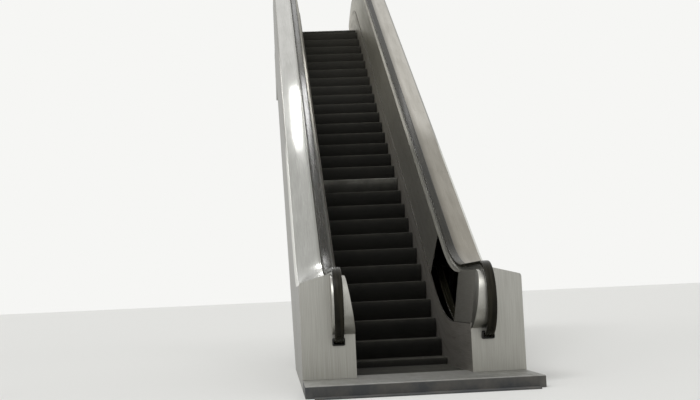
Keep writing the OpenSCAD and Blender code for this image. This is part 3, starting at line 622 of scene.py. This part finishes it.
# Steps: 111 cleats on each tread, running on as ribs down the riser
cleat = {
    "pitch": 0.009, "count": 111, "topHalf": 0.0016, "baseHalf": 0.0021, "height": 0.010,
    "reach": 0.3974, "stepPitch": 0.400, "ribHeight": 0.0022, "riserDepth": 0.204, "shift": -0.0036,
    "kneeX": 2.275, "lowZ": 0.092, "highZ": 5.692, "lowRadius": 1.2, "highRadius": 1.5, "levelRun": 0.8,
    "rearWear": 0.55,
    # from the tread to the nosing: (base's x, its drop, crown's x, its drop, wear)
    "tread": [(0.12, 0.0, 0.12, 0.0, 0.9), (0.006, 0.0, 0.0045, 0.0, 1.0),
              (0.0032, 0.0, 0.0014, 0.0014, 1.0), (0.0026, 0.0001, 0.0004, 0.0045, 0.9)],
    # down the riser: (share of its depth, wear); in the riser row the rise towards the foot is painted
    # light that lifts the shade there
    "riser": [(0.0, 0.75), (0.05, 0.7), (0.14, 0.3), (0.28, 0.12), (0.6, 0.2), (1.0, 0.4)],
    "paleRiser": [(0.0, 1.0), (0.08, 1.0), (0.18, 0.9), (0.36, 0.4), (0.65, 0.2), (1.0, 0.2)],
    "toneSpread": 0.03,               # how much one step's dust differs from its neighbour's
}
stepGroups = {                        # CAD node: (first step, last step, tone of the first and the last); the tone is painted light that lightens the steps towards the top
    "lower_landing_steps": (0, 1, 0.0, 0.1), "lower_curve_steps": (2, 3, 0.0, 0.1),
    "lower_flight_steps": (4, 13, 0.0, 0.09), "pale_step": (14, 14, 0.1, 0.1),
    "middle_flight_steps": (15, 22, 0.06, 0.22), "upper_flight_steps": (23, 29, 0.28, 0.95),
    "upper_curve_steps": (30, 31, 1.0, 1.0), "upper_landing_steps": (32, 33, 0.95, 0.95),
}


def nosingPoint(s):
    # the band's path: level, bend, flight, bend, level, s metres from its lower end
    lowRadius, highRadius = cleat["lowRadius"], cleat["highRadius"]
    toLowBend = lowRadius * math.tan(slope / 2)
    toHighBend = highRadius * math.tan(slope / 2)
    rise = cleat["highZ"] - cleat["lowZ"]
    flight = rise / math.sin(slope) - toLowBend - toHighBend
    levelEnd = cleat["levelRun"]
    lowBendEnd = levelEnd + lowRadius * slope
    flightEnd = lowBendEnd + flight
    highBendEnd = flightEnd + highRadius * slope
    lowEndX = cleat["kneeX"] - toLowBend
    highStartX = cleat["kneeX"] + rise / math.tan(slope) + toHighBend
    if s < levelEnd:
        return lowEndX - levelEnd + s, cleat["lowZ"]
    if s < lowBendEnd:
        turn = (s - levelEnd) / lowRadius
        return lowEndX + lowRadius * math.sin(turn), cleat["lowZ"] + lowRadius * (1 - math.cos(turn))
    if s < flightEnd:
        climbed = toLowBend + s - lowBendEnd
        return cleat["kneeX"] + climbed * math.cos(slope), cleat["lowZ"] + climbed * math.sin(slope)
    if s < highBendEnd:
        turn = (highBendEnd - s) / highRadius
        return highStartX - highRadius * math.sin(turn), cleat["highZ"] - highRadius * (1 - math.cos(turn))
    return highStartX + s - highBendEnd, cleat["highZ"]


def cleatProfile(nosingZ, riserWearAndLight):
    # (base point, crown point, wear) along one cleat: from the tread's rear edge over the nosing and down
    height, radius = cleat["height"], cleat["reach"]
    rows = [((radius, -height), (radius, 0.0), cleat["rearWear"])]
    for baseX, baseDrop, crownX, crownDrop, amount in cleat["tread"]:
        rows.append(((baseX, -height - baseDrop), (crownX, -crownDrop), amount))
    deepest = min(cleat["riserDepth"], nosingZ)
    lastTurn = math.asin(max(0.0, deepest - height) / radius)
    rib = radius + cleat["ribHeight"]
    for share, amount in riserWearAndLight:
        turn = lastTurn * share
        base = (cleat["stepPitch"] - radius * math.cos(turn), -height - radius * math.sin(turn))
        crown = (cleat["stepPitch"] - rib * math.cos(turn), max(-height - rib * math.sin(turn), -nosingZ))
        rows.append((base, crown, amount))
    return rows


for node, (first, last, firstTone, lastTone) in stepGroups.items():
    verts, faces, wear, tone = [], [], [], []
    for number in range(first, last + 1):
        x, z = nosingPoint(cleat["shift"] + number * cleat["stepPitch"])
        rows = cleatProfile(z, cleat["paleRiser" if node == "pale_step" else "riser"])
        share = (number - first) / max(1, last - first)
        shade = firstTone + (lastTone - firstTone) * share
        shade += random.uniform(-cleat["toneSpread"], cleat["toneSpread"])
        for i in range(cleat["count"]):
            y = (i - (cleat["count"] - 1) / 2) * cleat["pitch"]
            start = len(verts)
            for base, crown, amount in rows:
                verts += [(x + base[0], y - cleat["baseHalf"], z + base[1]),
                          (x + crown[0], y - cleat["topHalf"], z + crown[1]),
                          (x + crown[0], y + cleat["topHalf"], z + crown[1]),
                          (x + base[0], y + cleat["baseHalf"], z + base[1])]
                wear += [0.0, amount, amount, 0.0]
                tone += [shade] * 4
            for k in range(len(rows) - 1):
                a, b = start + 4 * k, start + 4 * k + 4
                faces += [(a, a + 1, b + 1, b), (a + 1, a + 2, b + 2, b + 1), (a + 2, a + 3, b + 3, b + 2)]
            end = start + 4 * (len(rows) - 1)
            faces += [(start, start + 3, start + 2, start + 1), (end, end + 1, end + 2, end + 3)]
    mesh = bpy.data.meshes.new("cleats" + "".join(word.capitalize() for word in node.split("_")))
    mesh.from_pydata(verts, [], faces)
    mesh.attributes.new("wear", "FLOAT", "POINT").data.foreach_set("value", wear)
    mesh.attributes.new("tone", "FLOAT", "POINT").data.foreach_set("value", tone)
    if node == "pale_step":
        finishObject(mesh, paleAluminium)
    else:
        finishObject(mesh, stepAluminium)
print("step cleats made")

# Landings: ribbed plates, and the screws that hold the comb segments
plate = {"pitch": 0.009, "ribHalf": 0.0024, "ribTop": 0.0014, "ribHeight": 0.0014, "margin": 0.008}


def addPlate(bm, low, high):
    top = high.z - plate["ribHeight"]
    size = Vector((high.x - low.x, high.y - low.y, top - low.z))
    middle = Vector(((low.x + high.x) / 2, (low.y + high.y) / 2, (low.z + top) / 2))
    made = bmesh.ops.create_cube(bm, size=1.0)["verts"]
    bmesh.ops.transform(bm, matrix=Matrix.Translation(middle) @ Matrix.Diagonal(size.to_4d()), verts=made)
    count = int((high.y - low.y - 2 * plate["margin"]) / plate["pitch"])
    for i in range(count):
        y = middle.y + (i - (count - 1) / 2) * plate["pitch"]
        ends = []
        for x, inset in ((low.x + plate["margin"], plate["ribHeight"]),
                         (high.x - plate["margin"], -plate["ribHeight"])):
            ends.append([bm.verts.new((x, y - plate["ribHalf"], top)),
                         bm.verts.new((x + inset, y - plate["ribTop"], high.z)),
                         bm.verts.new((x + inset, y + plate["ribTop"], high.z)),
                         bm.verts.new((x, y + plate["ribHalf"], top))])
        a, b = ends
        for k in range(3):
            bm.faces.new((a[k], a[k + 1], b[k + 1], b[k]))
        bm.faces.new(a)
        bm.faces.new(b)


def plateBoxes(node):
    # each separate plate in one CAD node, as a box
    bm = bmesh.new()
    bm.from_mesh(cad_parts[node].data)
    bmesh.ops.remove_doubles(bm, verts=bm.verts, dist=0.000001)
    seen, boxes = set(), []
    for vert in bm.verts:
        if vert in seen:
            continue
        island, waiting = [], [vert]
        seen.add(vert)
        while waiting:
            here = waiting.pop()
            island.append(here.co.copy())
            for edge in here.link_edges:
                other = edge.other_vert(here)
                if other not in seen:
                    seen.add(other)
                    waiting.append(other)
        boxes.append([Vector([pick(c[i] for c in island) for i in range(3)]) for pick in (min, max)])
    bm.free()
    return boxes


for name, nodes in (("lowerLandingPlates", ["lower_floor_plates", "lower_comb_plate"]),
                    ("upperLandingPlates", ["upper_floor_plates", "upper_comb_plate"])):
    bm = bmesh.new()
    for node in nodes:
        for low, high in plateBoxes(node):
            addPlate(bm, low, high)
    finishObject(meshFrom(bm, name), landingAluminium, nodes, sharp=25)

screw = {
    "offsets": (-0.06, 0.06), "segments": 5, "segmentWidth": 0.198, "fromRear": 0.018, "sides": 16,
    # (radius, height above the comb), from the rim in to the floor of the driver's recess
    "rings": [(0.0055, -0.0016), (0.0055, 0.0001), (0.0050, 0.0004), (0.0024, 0.0004), (0.0016, -0.0008)],
}
screwTurns = [2 * math.pi * k / screw["sides"] for k in range(screw["sides"])]
bm = bmesh.new()
for end, node in ((1, "lower_combs"), (-1, "upper_combs")):
    low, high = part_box(node)
    x = low.x + screw["fromRear"] if end == 1 else high.x - screw["fromRear"]
    for y in [(i - (screw["segments"] - 1) / 2) * screw["segmentWidth"] + offset
              for i in range(screw["segments"]) for offset in screw["offsets"]]:
        rings = [[bm.verts.new((x + radius * math.cos(a), y + radius * math.sin(a), high.z + rise))
                  for a in screwTurns] for radius, rise in screw["rings"]]
        for a, b in zip(rings, rings[1:]):
            for k in range(screw["sides"]):
                m = (k + 1) % screw["sides"]
                bm.faces.new((a[k], a[m], b[m], b[k]))
        bm.faces.new(rings[0])
        bm.faces.new(rings[-1])
finishObject(meshFrom(bm, "combScrews"), steel["stainlessTrimSatin"])
print("landings made")

# Floor, backdrop, lamps and camera
# The floor is matt pale paint, so the part casts only a soft shadow on it; half: half its width
floorSheet = {"colour": "#e4e4e2", "roughness": 0.7, "z": -0.001, "half": 500.0}
half = floorSheet["half"]
floorCorners = [(x, y, floorSheet["z"])
                for x, y in ((-half, -half), (half, -half), (half, half), (-half, half))]
floorMesh = bpy.data.meshes.new("studioFloor")
floorMesh.from_pydata(floorCorners, [], [(0, 1, 2, 3)])
studioFloor = bpy.data.objects.new("studioFloor", floorMesh)
bpy.context.scene.collection.objects.link(studioFloor)
floorPaint, floorTree = newMaterial("studioFloorPaintPale")
floorShader = addNode(floorTree, "ShaderNodeBsdfPrincipled",
                      {"Base Color": srgb(floorSheet["colour"]), "Roughness": floorSheet["roughness"]})
addNode(floorTree, "ShaderNodeOutputMaterial", {}, {"Surface": floorShader.outputs["BSDF"]})
floorMesh.materials.append(floorPaint)

# seen: by the camera and in reflections; fill: the light that it gives
backdrop = {"colour": "#f6f6f4", "seen": 1.0, "fill": 0.6}
world = bpy.data.worlds.new("studioWorld")
bpy.context.scene.world = world
world.use_nodes = True
worldTree = world.node_tree
worldTree.nodes.clear()
rays = addNode(worldTree, "ShaderNodeLightPath")
seen = addNode(worldTree, "ShaderNodeMath", {"operation": "ADD"},
               {0: rays.outputs["Is Camera Ray"], 1: rays.outputs["Is Glossy Ray"]})
seenAll = addNode(worldTree, "ShaderNodeMath", {"operation": "ADD", "use_clamp": True},
                  {0: seen.outputs["Value"], 1: rays.outputs["Is Transmission Ray"]})
strength = addNode(worldTree, "ShaderNodeMapRange",
                   {"To Min": backdrop["fill"], "To Max": backdrop["seen"]},
                   {"Value": seenAll.outputs["Value"]})
emission = addNode(worldTree, "ShaderNodeBackground", {"Color": srgb(backdrop["colour"])},
                   {"Strength": strength.outputs["Result"]})
addNode(worldTree, "ShaderNodeOutputWorld", {}, {"Surface": emission.outputs["Background"]})

lamps = {                             # energies: the sun's in W/m2, the strips' in W; angles in degrees
    "overheadSoft": {
        "kind": "SUN", "energy": 1.3, "spread": 40, "at": (0.0, 0.0, 12.0),
        "towards": (0.35, -0.35, 11.0)},
    # the streak in the left deck, and the softer light round it
    "deckStrip": {
        "kind": "AREA", "energy": 7.0, "size": (0.92, 0.26), "turn": -15.6, "at": (7.84, 1.13, 5.1)},
    "deckGlow": {
        "kind": "AREA", "energy": 0.8, "size": (1.0, 0.7), "turn": -15.6, "at": (7.84, 1.32, 5.1)},
    # the glints along the handrails
    "leftRailStrip": {
        "kind": "AREA", "energy": 13.0, "size": (1.1, 0.26), "turn": -4.0, "at": (7.65, 0.62, 5.1)},
    "leftRailHighStrip": {
        "kind": "AREA", "energy": 6.2, "size": (2.0, 0.5), "turn": 0.0, "at": (12.3, 0.58, 8.0)},
    "rightRailStrip": {
        "kind": "AREA", "energy": 1.3, "size": (0.8, 0.2), "turn": -4.0, "at": (7.65, -1.0, 5.1)},
}
for name, lamp in lamps.items():
    light = bpy.data.lights.new(name, lamp["kind"])
    light.energy = lamp["energy"]
    holder = bpy.data.objects.new(name, light)
    holder.location = lamp["at"]
    holder.visible_camera = False
    if lamp["kind"] == "SUN":
        light.angle = math.radians(lamp["spread"])
        aim = Vector(lamp["towards"]) - Vector(lamp["at"])
        holder.rotation_euler = aim.to_track_quat("-Z", "Y").to_euler()
    else:
        light.shape = "RECTANGLE"
        light.size, light.size_y = lamp["size"]
        holder.rotation_euler = (0.0, 0.0, math.radians(lamp["turn"]))
    bpy.context.scene.collection.objects.link(holder)

shot = {                              # the photograph's viewpoint, worked out from its edges
    "position": (-9.600, 1.195, 0.796),
    "yaw": math.radians(3.84),        # towards the right-hand balustrade
    "pitch": math.radians(4.59),
    "roll": math.radians(-2.62),
    "lens": 61.95,                    # millimetres, as the sensor's width is
    "sensorWidth": 36,
    "clipEnd": 1000,
}
forward = Vector((math.cos(shot["yaw"]) * math.cos(shot["pitch"]),
                  -math.sin(shot["yaw"]) * math.cos(shot["pitch"]), math.sin(shot["pitch"])))
right = Vector((-math.sin(shot["yaw"]), -math.cos(shot["yaw"]), 0.0))
up = right.cross(forward)
rolledRight = right * math.cos(shot["roll"]) + up * math.sin(shot["roll"])
rolledUp = up * math.cos(shot["roll"]) - right * math.sin(shot["roll"])
aimed = Matrix((rolledRight, rolledUp, -forward)).transposed().to_4x4()
cameraData = bpy.data.cameras.new("photoCamera")
cameraData.lens = shot["lens"]
cameraData.sensor_width = shot["sensorWidth"]
cameraData.sensor_fit = "HORIZONTAL"
cameraData.clip_end = shot["clipEnd"]
camera = bpy.data.objects.new("photoCamera", cameraData)
camera.matrix_world = Matrix.Translation(shot["position"]) @ aimed
bpy.context.scene.collection.objects.link(camera)
bpy.context.scene.camera = camera
bpy.context.scene.view_settings.view_transform = "Standard"
print("floor, lamps and camera set")
